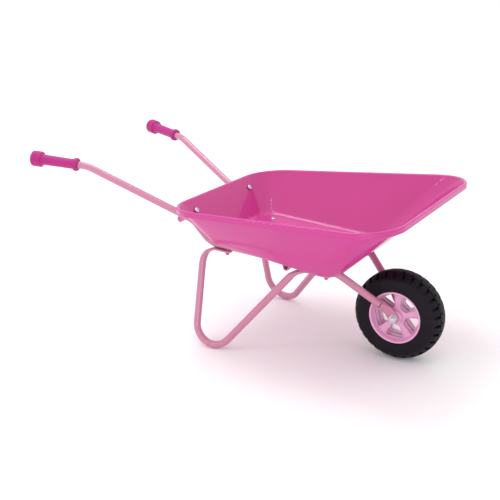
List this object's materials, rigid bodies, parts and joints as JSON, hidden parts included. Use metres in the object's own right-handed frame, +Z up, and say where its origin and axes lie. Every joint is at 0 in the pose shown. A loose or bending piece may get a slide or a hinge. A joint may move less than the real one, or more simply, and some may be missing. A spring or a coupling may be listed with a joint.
{
  "type": "wheelbarrow",
  "caption": "Small steel wheelbarrow: pressed tray on bent tube frame, V-shaped tube legs, soft hand grips and a lugged wheel on a spoked hub.",
  "frame": {"origin": "on the ground, in the middle of the whole wheelbarrow's length and width", "axes": "+X forward to the wheel, +Y to the left as seen by the person pushing, +Z up"},
  "size_m": [0.795, 0.4358, 0.3561],
  "materials": {
    "tray_paint": "satin magenta paint",
    "frame_paint": "satin pale pink paint",
    "grip": "soft moulded grip",
    "tyre": "matt moulded tyre",
    "wheel_plastic": "satin moulded plastic",
    "zinc": "bright zinc plate",
    "nut_cap": "push-on plastic cap"
  },
  "bodies": {
    "frame": {"tray": "tray_paint", "frame_tube_left": "frame_paint", "frame_tube_right": "frame_paint", "leg_left": "frame_paint", "leg_right": "frame_paint", "cross_brace": "frame_paint", "grip_left": "grip", "grip_right": "grip", "axle_sleeve": "zinc", "axle_bolt": "zinc", "axle_nut": "zinc", "axle_washers": "zinc", "rear_bolts": "zinc", "rear_spacers": "frame_paint", "rear_nuts": "zinc", "rear_nut_caps": "nut_cap", "floor_bolts": "zinc", "floor_washers": "zinc", "floor_nuts": "nut_cap"},
    "wheel": {"tyre": "tyre", "wheel_half_left": "wheel_plastic", "wheel_half_right": "wheel_plastic"}
  },
  "joints": [
    {"name": "wheel_spin", "type": "hinge", "parent": "frame", "child": "wheel", "pos_m": [0.31249, 0, 0.085], "axis": [0, 1, 0], "continuous": true}
  ]
}
